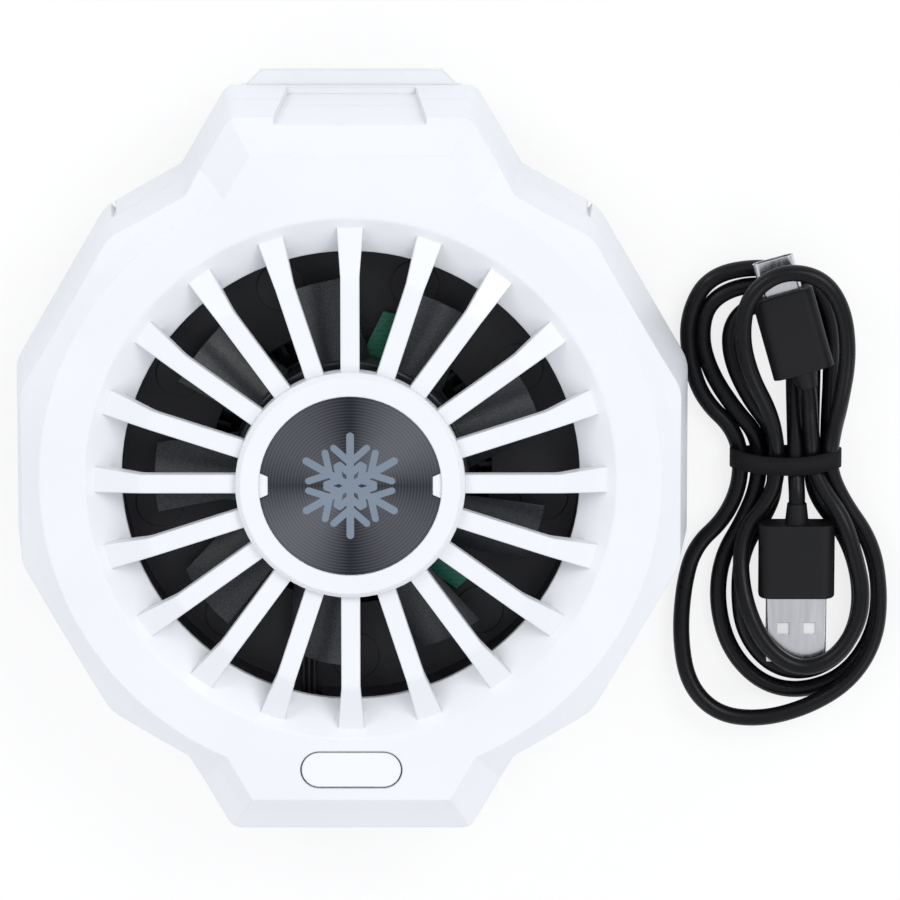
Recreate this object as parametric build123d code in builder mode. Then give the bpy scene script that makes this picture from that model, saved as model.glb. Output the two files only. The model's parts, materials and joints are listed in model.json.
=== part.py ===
from build123d import *
import math
import os

os.makedirs("parts", exist_ok=True)

# A phone cooling fan that lies on its back, on the tips of its two jaws, beside its tied lead.
# Millimetres. The origin is on the fan's axis, in the plane of the jaw tips. +Z leaves the front face,
# and +Y points to the tab behind which the clamp slides out.

# Heights of the case, from the jaw tips up
jaw_lip = 2.4
phone_room = 8.6
pad_thickness = 0.6
pad_proud = 0.8
clamp_thickness = 2.2
clamp_clearance = 0.2
deck_thickness = 1.8
body_height = 31.0
seam_height = 12.0
wall = 2.2
pad_face_z = jaw_lip + phone_room
rear_face_z = pad_face_z + pad_proud
deck_z = rear_face_z + clamp_thickness + clamp_clearance
floor_z = deck_z + deck_thickness
seam_z = deck_z + seam_height
front_z = deck_z + body_height

# Outline of the case at the front edge of its walls: twelve sides and two tabs with 60 degree sides
side_apothem = 64.6
tab_reach = 6.5
tab_end = side_apothem + tab_reach
tab_side_inset = 8.8
tab_side = side_apothem - tab_side_inset
draft = 2.0
side_corner_r = 8.0
tab_root_r = 2.0
tab_corner_r = 3.0
side_angle = math.radians(360 / 12)

# Front face: plateau, chamfer and sloping ledge
plateau_inset = 3.8
plateau_r = side_apothem - plateau_inset
plateau_tab_inset = 6.8
plateau_tab_end = tab_end - plateau_tab_inset
plateau_side_inset = 6.8
plateau_tab_side = tab_side - plateau_side_inset
bevel_run = 2.9
bevel_drop = 2.3
ledge_run = 3.4
ledge_drop = 2.4
ledge_overrun = 8.0
tab_start = 40.0
edge_z = front_z - bevel_drop - ledge_drop

# Bowl and opening
rim_width = 8.8
bowl_r = plateau_r - rim_width
bowl_run = 7.2
opening_r = bowl_r - bowl_run
bowl_drop = 4.25
bowl_wall = 2.0
bowl_back_gap = 1.9
bowl_back_r = bowl_r + bowl_back_gap
lip_drop = 5.6
lip_wall = 1.35
bowl_rim_fillet = 1.2

# Spokes and hub ring
spoke_count = 20
spoke_rise = 3.0
spoke_thickness = 2.2
spoke_width = 3.7
spoke_end_width = 5.2
spoke_bend_inset = 3.9
spoke_bend_r = opening_r - spoke_bend_inset
spoke_end_inset = 1.7
spoke_end_r = bowl_r - spoke_end_inset
spoke_end_drop = 1.3
spoke_root_lap = 2.8
spoke_bend_fillet = 3.0
spoke_edge_fillet = 0.5
hub_ring_r = 22.4
spoke_root_r = hub_ring_r - spoke_root_lap
hub_rise = 5.2
hub_chamfer = 0.9
disc_r = 17.8
disc_thickness = 1.8
disc_recess = 0.5
disc_clearance = 0.15
key_mouth = 5.3
key_tip = 3.6
key_depth = 1.75
key_clearance = 0.12
spoke_top_z = front_z + spoke_rise
spoke_under_z = spoke_top_z - spoke_thickness
hub_top_z = front_z + hub_rise
disc_top_z = hub_top_z - disc_recess
disc_seat_z = disc_top_z - disc_thickness

# Snowflake inlay
flake_r = 10.6
flake_arm_width = 1.5
flake_branch_width = 1.35
flake_inner_at = 2.3
flake_inner_length = 3.4
flake_outer_at = 4.6
flake_outer_length = 5.0
flake_depth = 0.5
flake_arms = 6
flake_branch_angle = 48

# Power button, its switch and the control board
button_from_bowl = 4.3
button_y = -bowl_back_r - button_from_bowl
button_length = 19.5
button_width = 6.9
button_gap = 0.3
button_flange = 0.9
button_flange_overlap = 1.0
button_flange_side = 0.4
button_flange_gap = 0.1
button_travel = 0.4
button_fillet = 0.3
stem_r = 1.6
stem_gap = 0.1
board_z = 30.4
board_thickness = 1.6
board_length = 34.0
board_depth = 17.5
board_edge_y = -50.0
switch_side = 6.0
switch_height = 3.4
plunger_r = 1.7
plunger_clearance = 0.06
plunger_rise = 1.6
plunger_sink = 1.4
board_post_r = 2.2
board_post_x = 14.0
board_post_y = -60.5
board_top_z = board_z + board_thickness
switch_top_z = board_top_z + switch_height
plunger_top_z = switch_top_z + plunger_rise

# USB-C socket
socket_width = 8.94
socket_height = 3.26
socket_length = 7.4
socket_wall = 0.3
socket_recess = 0.5
socket_gap = 0.25
tongue_width = 6.7
tongue_height = 0.7
tongue_back = 1.2
tongue_short = 1.0
inductor_side = 6.0
inductor_height = 3.0
inductor_x = 8.6
chip_length = 5.0
chip_width = 4.0
chip_height = 1.0
chip_x = 7.4
chip_y = -53.6

# Fan tray, motor and impeller
tray_z = 29.8
tray_thickness = 1.4
tray_lap = 1.4
tray_r = opening_r + tray_lap
tray_ring_wall = 1.4
tray_ring_gap = 0.3
tray_mark_count = 9
tray_mark_r = 4.7
tray_mark_inset = 7.8
tray_mark_at = tray_r - tray_mark_inset
tray_mark_first = 111
tray_mark_height = 0.3
tray_window_in = 23.2
tray_window_out = 27.6
tray_window_share = 0.62
tray_leg_r = 3.2
tray_leg_gap = 4.3
tray_leg_at = tray_r + tray_leg_gap
tray_notch_width = 5.0
tower_r = 3.4
tower_height = 5.8
bearing_r = 2.5
bearing_floor = 0.5
shaft_r = 1.0
shaft_clearance = 0.03
clip_r = 1.9
clip_thickness = 0.4
motor_board_z = 32.2
motor_board_thickness = 1.0
motor_board_r = 20.0
motor_board_gap = 0.3
arm_width = 4.6
arm_reach = 31.9
arm_end_width = 2.8
arm_root_width = 8.0
arm_angles = (76, 188, 313)
arm_screw_at = 17.2
stator_r = 11.5
stator_z = 34.2
stator_height = 3.6
stator_teeth = 9
stator_core_r = 6.0
tooth_width = 1.6
tooth_tip = 1.2
tooth_tip_width = 5.6
winding_width = 3.2
winding_clearance = 0.1
winding_bulge = 0.5
magnet_r = 13.4
magnet_inner_r = 12.0
magnet_height = 4.4
yoke_wall = 0.8
rotor_clearance = 0.05
impeller_hub_r = 22.9
impeller_wall = 1.2
impeller_top_z = 40.8
impeller_skirt_z = 33.7
impeller_boss_r = 2.4
impeller_boss_depth = 2.0
impeller_edge_fillet = 0.6
blade_count = 9
blade_tip_gap = 6.4
blade_tip_r = opening_r - blade_tip_gap
blade_root_r = 22.1
blade_first_angle = 99
blade_z = 33.9
blade_thickness = 0.9
blade_root_chord = 11.6
blade_tip_chord = 13.4
blade_root_lag = 1.4
blade_tip_lead = 2.6
blade_root_rise = 6.0
blade_tip_rise = 5.0
blade_camber = 1.0
tray_top_z = tray_z + tray_thickness
motor_board_top_z = motor_board_z + motor_board_thickness
tower_top_z = tray_top_z + tower_height
impeller_roof_z = impeller_top_z - impeller_wall

# Heat sink, Peltier module and cold plate
sink_inset = 1.7
sink_r = tray_r - sink_inset
sink_base = 1.8
fin_in_r = 25.0
fin_out_inset = 1.0
fin_out_r = sink_r - fin_out_inset
fin_height = 6.5
fin_thickness = 0.9
fin_count = 60
plate_side = 40.0
plate_gap = 0.3
flange_side = 46.0
flange_thickness = 1.6
module_side = 40.0
module_height = 3.4
module_ceramic = 0.7
module_pellet = 1.8
module_pellet_pitch = 4.8
module_pellets = 8
frame_side = 50.0
frame_gap = 0.3
frame_notch = 8.0
frame_notch_x = 9.6
pad_side = 38.0
pad_corner_r = 2.0
flange_top_z = floor_z + flange_thickness
module_top_z = flange_top_z + module_height
sink_top_z = module_top_z + sink_base

# Screws and their posts
case_screw_in = 14.6
case_screw_x = side_apothem - case_screw_in
case_screw_y = 30.0
case_post_r = 3.2
case_post_gap = 0.2
screw_r = 1.0
screw_hole_r = 1.02
screw_clear_r = 1.2
head_r = 2.0
head_height = 1.2
head_clear_r = 2.3
socket_r = 0.9
socket_depth = 0.7
case_screw_length = 16.0
tray_screw_length = 12.0
short_screw_length = 4.0
motor_head_height = 0.5
post_r = 2.8

# Clamp: sliding jaw, fixed jaw, rails and springs
phone_grip = 66.0
slide_travel = 22.0
jaw_pad = 1.2
jaw_pad_width = 36.0
jaw_pad_height = 7.6
jaw_wall = 2.6
jaw_width = 40.0
jaw_hook = 5.2
plate_inner_y = 24.0
plate_half = 24.5
plate_flange = 2.6
plate_flange_thickness = 1.0
plate_rail_gap = 0.2
rail_wall = 2.0
rail_end_y = 62.0
pull_reach = 2.9
pull_end_y = tab_end + draft + pull_reach
pull_half = 17.8
pull_root_half = 21.6
pull_corner = 3.0
spring_x = 19.0
spring_r = 1.8
spring_wire = 0.5
spring_post_r = 1.2
spring_post_y = 28.2
spring_post_height = 4.2
spring_start_y = 29.7
spring_end_y = 45.3
slide_pin_r = 0.9
slide_pin_y = 46.3
slide_pin_gap = 0.3
slide_pin_height = 5.2
jaw_screw_x = 16.0
jaw_screw_y = 48.0
jaw_post_height = 4.0

# Side vents, corner grooves and the finger recess in the top wall
vent_width = 1.6
vent_pitch = 3.6
vent_height = 6.0
vent_rise = 3.0
vent_count = 8
vent_depth = 4.8
groove_width = 0.9
groove_depth = 0.8
recess_depth = 1.3
recess_front_half = 15.2
recess_rear_half = 12.6
recess_rise = 2.0
overrun = 5.0

# Lead
cord_r = 1.65
layer_step = 3.8
waist_inner = 2.1
waist_step = 4.1
lower_left_inner = 7.5
lower_right_inner = 9.6
lower_step = 5.0
loose_left = 19.4
upper_left_inner = 8.4
upper_left_step = 4.9
upper_right_inner = 1.5
upper_right_step = 3.8
lower_bend = 27.0
lower_turn = 32.0
loose_turn = 35.0
loose_bend = 18.5
upper_bend = 24.0
upper_turn = 24.5
big_loop_left = 8.0
big_loop_right = 12.6
big_loop_bend = 24.0
big_loop_turn = 31.1
big_loop_rise = 7.4
over_loop_left = 9.0
over_loop_right = 12.8
over_loop_right_start = 11.9
over_loop_mid_rise = 5.8
over_loop_start = 12.6
over_loop_turn = 29.6
over_loop_rise = 6.0
gap_points = 1000
gap_apart = 9.0
hank_x = 86.6
hank_y = -4.2
tie_wall = 0.8
tie_width = 4.2
tie_gap = 0.3
tie_corner_r = 1.8
tie_top_room = 0.9
plug_a_x = 2.2
plug_a_y = -8.4
relief_length = 4.0
relief_end_r = 2.4
plug_a_width = 15.2
plug_a_length = 15.0
plug_a_height = 7.4
plug_a_corner = 2.6
shell_a_width = 12.0
shell_a_height = 4.5
shell_a_length = 13.0
shell_a_wall = 0.35
shell_a_window = 2.4
shell_a_window_at = 6.2
shell_a_window_x = 2.6
tongue_a_width = 11.0
tongue_a_height = 1.9
tongue_a_short = 1.0
plug_a_rise = 5.65
plug_c_x = 4.2
plug_c_y = 15.4
plug_c_rise = 6.2
plug_c_start = 1.0
plug_c_turn_r = 8.0
plug_c_tilt = 15.8
relief_c_length = 3.4
relief_c_end_r = 2.8
plug_c_width = 12.4
plug_c_length = 16.6
plug_c_height = 6.4
plug_c_corner = 2.4
shell_c_width = 8.3
shell_c_height = 2.5
shell_c_length = 7.0
shell_c_wall = 0.3

# Wires inside
wire_r = 0.45
motor_lead_x = -8.5
motor_lead_pitch = 1.1
motor_lead_count = 3
motor_lead_in_share = 0.9
peltier_lead_r = 0.5
peltier_lead_z = 19.3
peltier_lead_pitch = 4.8
peltier_lead_end_y = -53.0
peltier_lead_bend_r = 2.0


def z_plane(height):
    """The horizontal plane at a height."""
    return Plane.XY.offset(height)


def keep(part, name):
    """Gives a finished piece its name and writes it."""
    part.part.label = name
    export_step(part.part, f"parts/{name}.step")


def outline_corners(apothem, end, side):
    """Corners of the twelve-sided outline with its two tabs, anticlockwise, and their radii."""
    half = side_angle / 2
    corner_r = apothem / math.cos(half)
    quarter = [
        (apothem, apothem * math.tan(half)),
        (corner_r * math.cos(3 * half), corner_r * math.sin(3 * half)),
        (math.tan(2 * side_angle) * side - apothem, math.tan(2 * side_angle) * apothem - side),
        ((side - end * math.sin(side_angle)) / math.cos(side_angle), end),
    ]
    radii = [side_corner_r, side_corner_r, tab_root_r, tab_corner_r]
    left = [(-x, y) for x, y in reversed(quarter)]
    upper = quarter + left
    lower = [(-x, -y) for x, y in upper]
    return upper + lower, (radii + radii[::-1]) * 2


def case_walls(low_z, high_z, inset):
    """The drafted prism inside the case's walls, moved in by inset."""
    with BuildPart() as prism:
        for height in (low_z, high_z):
            grow = draft * (edge_z - height) / (edge_z - deck_z) - inset
            corners, radii = outline_corners(side_apothem + grow, tab_end + grow, tab_side + grow)
            with BuildSketch(z_plane(height)):
                with BuildLine():
                    FilletPolyline(*corners, radius=radii, close=True)
                make_face()
        loft(ruled=True)
    return prism.part


def tab_section(end, side, sign):
    """A tab's four corners, from inside the round plateau to its end."""
    start_half = (side - tab_start * math.sin(side_angle)) / math.cos(side_angle)
    end_half = (side - end * math.sin(side_angle)) / math.cos(side_angle)
    return [
        (-start_half, sign * tab_start),
        (start_half, sign * tab_start),
        (end_half, sign * end),
        (-end_half, sign * end),
    ]


def case_form(inset):
    """The front half of the case as one solid, with its faces moved in by inset."""
    walls = case_walls(seam_z, front_z, inset)
    slope = ledge_drop / ledge_run
    top = front_z - inset
    bevel_z = top - bevel_drop
    far_z = bevel_z - ledge_overrun * slope
    round_r = plateau_r - inset
    with BuildPart() as form:
        with BuildSketch(Plane.XZ):
            with BuildLine():
                Polyline(
                    (0, seam_z),
                    (round_r + bevel_run + ledge_overrun, seam_z),
                    (round_r + bevel_run + ledge_overrun, far_z),
                    (round_r + bevel_run, bevel_z),
                    (round_r, top),
                    (0, top),
                    close=True,
                )
            make_face()
        revolve(axis=Axis.Z)
        end = plateau_tab_end - inset
        side = plateau_tab_side - inset
        for sign in (1, -1):
            for low, low_run, high, high_run in (
                (seam_z, ledge_overrun, far_z, ledge_overrun),
                (far_z, ledge_overrun, bevel_z, 0),
                (bevel_z, 0, top, -bevel_run),
            ):
                for height, run in ((low, low_run), (high, high_run)):
                    grow = bevel_run + run
                    with BuildSketch(z_plane(height)):
                        with BuildLine():
                            Polyline(*tab_section(end + grow, side + grow, sign), close=True)
                        make_face()
                loft(ruled=True)
        add(walls, mode=Mode.INTERSECT)
    return form.part


def spoke_solid():
    """One spoke along +X: level from the hub ring, then bent down into the bowl."""
    bowl_slope = bowl_drop / (bowl_r - opening_r)
    end_z = front_z - spoke_end_drop
    with BuildPart() as spoke:
        with BuildSketch(Plane.XZ):
            with BuildLine():
                Polyline(
                    (spoke_root_r, spoke_under_z),
                    (spoke_root_r, spoke_top_z),
                    (spoke_bend_r, spoke_top_z),
                    (spoke_end_r, end_z),
                    (spoke_end_r, end_z - bowl_wall * bowl_slope),
                    (spoke_end_r - bowl_wall, end_z - bowl_wall),
                    (spoke_bend_r - spoke_thickness / 2, spoke_under_z),
                    close=True,
                )
            make_face()
            bends = vertices().filter_by_position(
                Axis.X, spoke_bend_r - spoke_thickness, spoke_bend_r + overrun / 10
            )
            fillet(bends, spoke_bend_fillet)
        extrude(amount=spoke_end_width, both=True)
        with BuildSketch(z_plane(front_z - lip_drop)):
            with BuildLine():
                Polyline(
                    (spoke_root_r, -spoke_width / 2),
                    (spoke_bend_r, -spoke_width / 2),
                    (spoke_end_r, -spoke_end_width / 2),
                    (spoke_end_r, spoke_end_width / 2),
                    (spoke_bend_r, spoke_width / 2),
                    (spoke_root_r, spoke_width / 2),
                    close=True,
                )
            make_face()
        extrude(amount=hub_rise + lip_drop, mode=Mode.INTERSECT)
    return spoke.part


def recess_solid():
    """The space of the finger recess in the top tab's wall, which leans with the wall."""
    lean = math.atan2(draft, edge_z - deck_z)
    length = (edge_z - deck_z - recess_rise) / math.cos(lean)
    wall_plane = Plane(
        origin=(0, tab_end - recess_depth, edge_z),
        x_dir=(1, 0, 0),
        z_dir=(0, math.cos(lean), math.sin(lean)),
    )
    with BuildPart() as recess:
        with BuildSketch(wall_plane):
            with BuildLine():
                Polyline(
                    (-recess_front_half, -overrun),
                    (recess_front_half, -overrun),
                    (recess_rear_half, length),
                    (-recess_rear_half, length),
                    close=True,
                )
            make_face()
        extrude(amount=overrun)
    return recess.part


front_outer = case_form(0)
front_inner = case_form(wall)
spoke = spoke_solid()
finger_recess = recess_solid()

with BuildPart() as front_cover:
    add(front_outer)
    add(front_inner, mode=Mode.SUBTRACT)
    # Bowl wall and the lip of the opening
    with BuildSketch(Plane.XZ):
        with BuildLine():
            Polyline(
                (opening_r, front_z - bowl_drop),
                (opening_r, front_z - lip_drop),
                (opening_r + lip_wall, front_z - lip_drop),
                (bowl_back_r, front_z - bowl_wall),
                (bowl_back_r, front_z),
                (bowl_r, front_z),
                close=True,
            )
        make_face()
    revolve(axis=Axis.Z)
    # Air space of the bowl and the opening
    with BuildSketch(Plane.XZ):
        with BuildLine():
            Polyline(
                (0, front_z - lip_drop - wall),
                (opening_r, front_z - lip_drop - wall),
                (opening_r, front_z - bowl_drop),
                (bowl_r, front_z),
                (bowl_r, front_z + overrun),
                (0, front_z + overrun),
                close=True,
            )
        make_face()
    revolve(axis=Axis.Z, mode=Mode.SUBTRACT)
    rim = edges().filter_by(GeomType.CIRCLE).filter_by(
        lambda e: abs(e.radius - bowl_r) < spoke_edge_fillet and e.center().Z > front_z - wall
    )
    fillet(rim, bowl_rim_fillet)
    # Spokes
    with PolarLocations(0, spoke_count, start_angle=90):
        add(spoke)
    # Hub ring with its floor
    with BuildSketch(Plane.XZ):
        with BuildLine():
            Polyline(
                (0, spoke_under_z),
                (hub_ring_r, spoke_under_z),
                (hub_ring_r, hub_top_z - hub_chamfer),
                (hub_ring_r - hub_chamfer, hub_top_z),
                (disc_r, hub_top_z),
                (disc_r, disc_seat_z),
                (0, disc_seat_z),
                close=True,
            )
        make_face()
    revolve(axis=Axis.Z)
    # Locating tabs of the disc
    with BuildSketch(z_plane(disc_seat_z)):
        for sign in (1, -1):
            with BuildLine():
                Polyline(
                    (sign * (disc_r + disc_clearance), key_mouth / 2),
                    (sign * (disc_r - key_depth), key_tip / 2),
                    (sign * (disc_r - key_depth), -key_tip / 2),
                    (sign * (disc_r + disc_clearance), -key_mouth / 2),
                    close=True,
                )
            make_face()
    extrude(amount=disc_thickness)
    # Posts for the case screws and for the button's surround
    with BuildSketch(z_plane(seam_z + case_post_gap)):
        with GridLocations(2 * case_screw_x, 2 * case_screw_y, 2, 2):
            Circle(case_post_r)
    extrude(amount=front_z - wall / 2 - seam_z - case_post_gap)
    with BuildSketch(z_plane(seam_z + case_post_gap)):
        with GridLocations(2 * case_screw_x, 2 * case_screw_y, 2, 2):
            Circle(screw_hole_r)
    extrude(amount=case_screw_length, mode=Mode.SUBTRACT)
    # Hole of the button
    with BuildSketch(z_plane(front_z - wall - overrun)):
        with Locations((0, button_y)):
            SlotOverall(button_length + 2 * button_gap, button_width + 2 * button_gap)
    extrude(amount=2 * overrun, mode=Mode.SUBTRACT)
    # Mouth of the socket
    socket_z = board_top_z + socket_height / 2
    with BuildSketch(Plane.XZ.offset(tab_end - wall - overrun)):
        with Locations((0, socket_z)):
            SlotOverall(socket_width + 2 * socket_gap, socket_height + 2 * socket_gap)
    extrude(amount=2 * overrun, mode=Mode.SUBTRACT)
    # Finger recess over the clamp's pull
    add(finger_recess, mode=Mode.SUBTRACT)
keep(front_cover, "front_cover")


# Rear cover: deck, walls, rails, posts and vents
rear_outer = case_walls(deck_z, seam_z, 0)
rear_inner = case_walls(floor_z, seam_z + overrun, wall)
clamp_top_z = rear_face_z + clamp_thickness
rail_in = plate_half + plate_rail_gap
rail_face = plate_half + plate_flange + plate_rail_gap
rail_lip_z = clamp_top_z - plate_flange_thickness - clamp_clearance
tray_leg_offset = 2 * tray_leg_at * math.sin(math.radians(45))
slot_in_y = slide_pin_y - slide_pin_r - slide_pin_gap
slot_out_y = slide_pin_y + slide_travel + slide_pin_r + slide_pin_gap


def rail_pair(sign):
    """The L-shaped rails of one tab; the sign gives the tab."""
    with BuildPart() as rails:
        with BuildSketch(Plane.XZ.offset(-sign * plate_inner_y)):
            for side in (1, -1):
                with BuildLine():
                    Polyline(
                        (side * rail_in, rear_face_z),
                        (side * (rail_face + rail_wall), rear_face_z),
                        (side * (rail_face + rail_wall), deck_z),
                        (side * rail_face, deck_z),
                        (side * rail_face, rail_lip_z),
                        (side * rail_in, rail_lip_z),
                        close=True,
                    )
                make_face()
        extrude(amount=-sign * (rail_end_y - plate_inner_y))
    return rails.part


with BuildPart() as rear_cover:
    add(rear_outer)
    add(rear_inner, mode=Mode.SUBTRACT)
    # Rails of the clamp, above and below the cold plate
    add(rail_pair(1))
    add(rail_pair(-1))
    # Opening for the cold plate
    with BuildSketch(z_plane(deck_z - overrun)):
        Rectangle(plate_side + 2 * plate_gap, plate_side + 2 * plate_gap)
    extrude(amount=2 * overrun, mode=Mode.SUBTRACT)
    # Slots for the slide's pins
    with BuildSketch(z_plane(deck_z - overrun)):
        with Locations(*[(sign * spring_x, (slot_in_y + slot_out_y) / 2) for sign in (1, -1)]):
            SlotOverall(slot_out_y - slot_in_y, 2 * (slide_pin_r + slide_pin_gap), rotation=90)
    extrude(amount=2 * overrun, mode=Mode.SUBTRACT)
    # Posts
    case_spots = [(x * case_screw_x, y * case_screw_y) for x in (1, -1) for y in (1, -1)]
    tray_spots = [(x * tray_leg_offset / 2, y * tray_leg_offset / 2) for x in (1, -1) for y in (1, -1)]
    board_spots = [(sign * board_post_x, board_post_y) for sign in (1, -1)]
    jaw_spots = [(sign * jaw_screw_x, -jaw_screw_y) for sign in (1, -1)]
    spring_spots = [(sign * spring_x, spring_post_y) for sign in (1, -1)]
    for spots, radius, top in (
        (case_spots, case_post_r, seam_z),
        (tray_spots, post_r, module_top_z),
        (board_spots, board_post_r, board_z),
        (jaw_spots, post_r, floor_z + jaw_post_height),
        (spring_spots, spring_post_r, floor_z + spring_post_height),
    ):
        with BuildSketch(z_plane(floor_z)):
            with Locations(*spots):
                Circle(radius)
        extrude(amount=top - floor_z)
    for spots, radius, top in (
        (case_spots, screw_clear_r, seam_z + overrun),
        (case_spots, head_clear_r, deck_z + head_height),
        (jaw_spots, screw_hole_r, floor_z + jaw_post_height + overrun),
    ):
        with BuildSketch(z_plane(rear_face_z)):
            with Locations(*spots):
                Circle(radius)
        extrude(amount=top - rear_face_z, mode=Mode.SUBTRACT)
    with BuildSketch(z_plane(floor_z)):
        with Locations(*tray_spots, *board_spots):
            Circle(screw_hole_r)
    extrude(amount=board_z - floor_z + overrun, mode=Mode.SUBTRACT)
    # Vents in the lower flat on each side
    vent_z = floor_z + vent_rise + vent_height / 2
    for turn in (-1, 7):
        angle = turn * side_angle
        normal = (math.cos(angle), math.sin(angle), 0)
        reach = side_apothem + draft
        flat = Plane(
            origin=(reach * normal[0], reach * normal[1], vent_z),
            x_dir=(-normal[1], normal[0], 0),
            z_dir=normal,
        )
        with BuildSketch(flat):
            with GridLocations(vent_pitch, vent_height, vent_count, 1):
                Rectangle(vent_width, vent_height)
        extrude(amount=-vent_depth, mode=Mode.SUBTRACT)
    # Grooves beside the shoulders
    groove_at = (side_apothem + draft) / math.cos(side_angle / 2) - groove_depth
    groove_turn = math.radians(46.5)
    with BuildSketch(z_plane(deck_z - overrun)):
        for x in (1, -1):
            for y in (1, -1):
                spot = (x * groove_at * math.cos(groove_turn), y * groove_at * math.sin(groove_turn))
                with Locations(Location(spot, math.degrees(math.atan2(spot[1], spot[0])))):
                    Rectangle(2 * groove_depth, groove_width)
    extrude(amount=seam_height + overrun, mode=Mode.SUBTRACT)
    add(finger_recess, mode=Mode.SUBTRACT)
keep(rear_cover, "rear_cover")

# Disc with its two notches and the inlaid snowflake


def snowflake():
    """A plain six-armed snowflake, drawn in the sketch that calls it."""
    with PolarLocations(0, flake_arms, start_angle=90):
        with Locations((flake_r / 2, 0)):
            SlotOverall(flake_r, flake_arm_width)
        for at, length in ((flake_inner_at, flake_inner_length), (flake_outer_at, flake_outer_length)):
            for sign in (1, -1):
                turn = math.radians(sign * flake_branch_angle)
                middle = (at + length / 2 * math.cos(turn), length / 2 * math.sin(turn))
                with Locations(Location(middle, sign * flake_branch_angle)):
                    SlotOverall(length, flake_branch_width)


with BuildPart() as hub_disc:
    with BuildSketch(z_plane(disc_seat_z)):
        Circle(disc_r - disc_clearance)
        for sign in (1, -1):
            with BuildLine():
                Polyline(
                    (sign * (disc_r + overrun), (key_mouth + overrun * (key_mouth - key_tip) / key_depth) / 2
                     + key_clearance),
                    (sign * (disc_r - key_depth - key_clearance), key_tip / 2 + key_clearance),
                    (sign * (disc_r - key_depth - key_clearance), -key_tip / 2 - key_clearance),
                    (sign * (disc_r + overrun), -(key_mouth + overrun * (key_mouth - key_tip) / key_depth) / 2
                     - key_clearance),
                    close=True,
                )
            make_face(mode=Mode.SUBTRACT)
    extrude(amount=disc_thickness)
    with BuildSketch(z_plane(disc_top_z - flake_depth)):
        snowflake()
    extrude(amount=flake_depth, mode=Mode.SUBTRACT)
keep(hub_disc, "hub_disc")

with BuildPart() as snowflake_inlay:
    with BuildSketch(z_plane(disc_top_z - flake_depth)):
        snowflake()
    extrude(amount=flake_depth)
keep(snowflake_inlay, "snowflake_inlay")

# Power button: cap, flange below the cover and stem
button_low_z = front_z - wall - button_flange_gap - button_flange
with BuildPart() as power_button:
    with BuildSketch(z_plane(button_low_z)):
        with Locations((0, button_y)):
            SlotOverall(button_length, button_width)
    extrude(amount=front_z - button_low_z)
    fillet(faces().sort_by(Axis.Z)[-1].edges(), button_fillet)
    with BuildSketch(z_plane(button_low_z)):
        with Locations((0, button_y)):
            SlotOverall(button_length + 2 * button_flange_overlap, button_width + 2 * button_flange_side)
    extrude(amount=button_flange)
    with BuildSketch(z_plane(plunger_top_z + stem_gap)):
        with Locations((0, button_y)):
            Circle(stem_r)
    extrude(amount=button_low_z - plunger_top_z - stem_gap)
keep(power_button, "power_button")

# Control board and what it carries
with BuildPart() as control_board:
    with BuildSketch(z_plane(board_z)):
        with Locations((0, board_edge_y - board_depth / 2)):
            Rectangle(board_length, board_depth)
        with Locations(*board_spots):
            Circle(screw_clear_r, mode=Mode.SUBTRACT)
    extrude(amount=board_thickness)
keep(control_board, "control_board")

with BuildPart() as tact_switch:
    with BuildSketch(z_plane(board_top_z)):
        with Locations((0, button_y)):
            Rectangle(switch_side, switch_side)
    extrude(amount=switch_height)
    with BuildSketch(z_plane(switch_top_z - plunger_sink)):
        with Locations((0, button_y)):
            Circle(plunger_r + plunger_clearance)
    extrude(amount=plunger_sink, mode=Mode.SUBTRACT)
keep(tact_switch, "tact_switch")

with BuildPart() as switch_plunger:
    with BuildSketch(z_plane(switch_top_z - plunger_sink + button_travel + stem_gap)):
        with Locations((0, button_y)):
            Circle(plunger_r)
    extrude(amount=plunger_rise + plunger_sink - button_travel - stem_gap)
keep(switch_plunger, "switch_plunger")

with BuildPart() as power_inductor:
    with BuildSketch(z_plane(board_top_z)):
        with Locations((inductor_x, chip_y)):
            RectangleRounded(inductor_side, inductor_side, inductor_side / 5)
    extrude(amount=inductor_height)
keep(power_inductor, "power_inductor")

with BuildPart() as control_chip:
    with BuildSketch(z_plane(board_top_z)):
        with Locations((-chip_x, chip_y)):
            Rectangle(chip_length, chip_width)
    extrude(amount=chip_height)
keep(control_chip, "control_chip")

socket_mouth_y = tab_end - socket_recess
with BuildPart() as usb_c_socket:
    with BuildSketch(Plane.XZ.offset(socket_mouth_y - socket_length)):
        with Locations((0, socket_z)):
            SlotOverall(socket_width, socket_height)
    extrude(amount=socket_length)
    with BuildSketch(Plane.XZ.offset(socket_mouth_y - socket_length + tongue_back)):
        with Locations((0, socket_z)):
            SlotOverall(socket_width - 2 * socket_wall, socket_height - 2 * socket_wall)
    extrude(amount=socket_length, mode=Mode.SUBTRACT)
keep(usb_c_socket, "usb_c_socket")

with BuildPart() as usb_c_socket_tongue:
    with BuildSketch(Plane.XZ.offset(socket_mouth_y - socket_length + tongue_back)):
        with Locations((0, socket_z)):
            Rectangle(tongue_width, tongue_height)
    extrude(amount=socket_length - tongue_back - tongue_short)
keep(usb_c_socket_tongue, "usb_c_socket_tongue")

# Cooling stack: pad, cold plate, insulation frame, Peltier module and heat sink
with BuildPart() as thermal_pad:
    with BuildSketch(z_plane(pad_face_z)):
        RectangleRounded(pad_side, pad_side, pad_corner_r)
    extrude(amount=pad_thickness)
keep(thermal_pad, "thermal_pad")

with BuildPart() as cold_plate:
    with BuildSketch(z_plane(pad_face_z + pad_thickness)):
        Rectangle(plate_side, plate_side)
    extrude(amount=floor_z - pad_face_z - pad_thickness)
    with BuildSketch(z_plane(floor_z)):
        Rectangle(flange_side, flange_side)
    extrude(amount=flange_thickness)
keep(cold_plate, "cold_plate")

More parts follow.
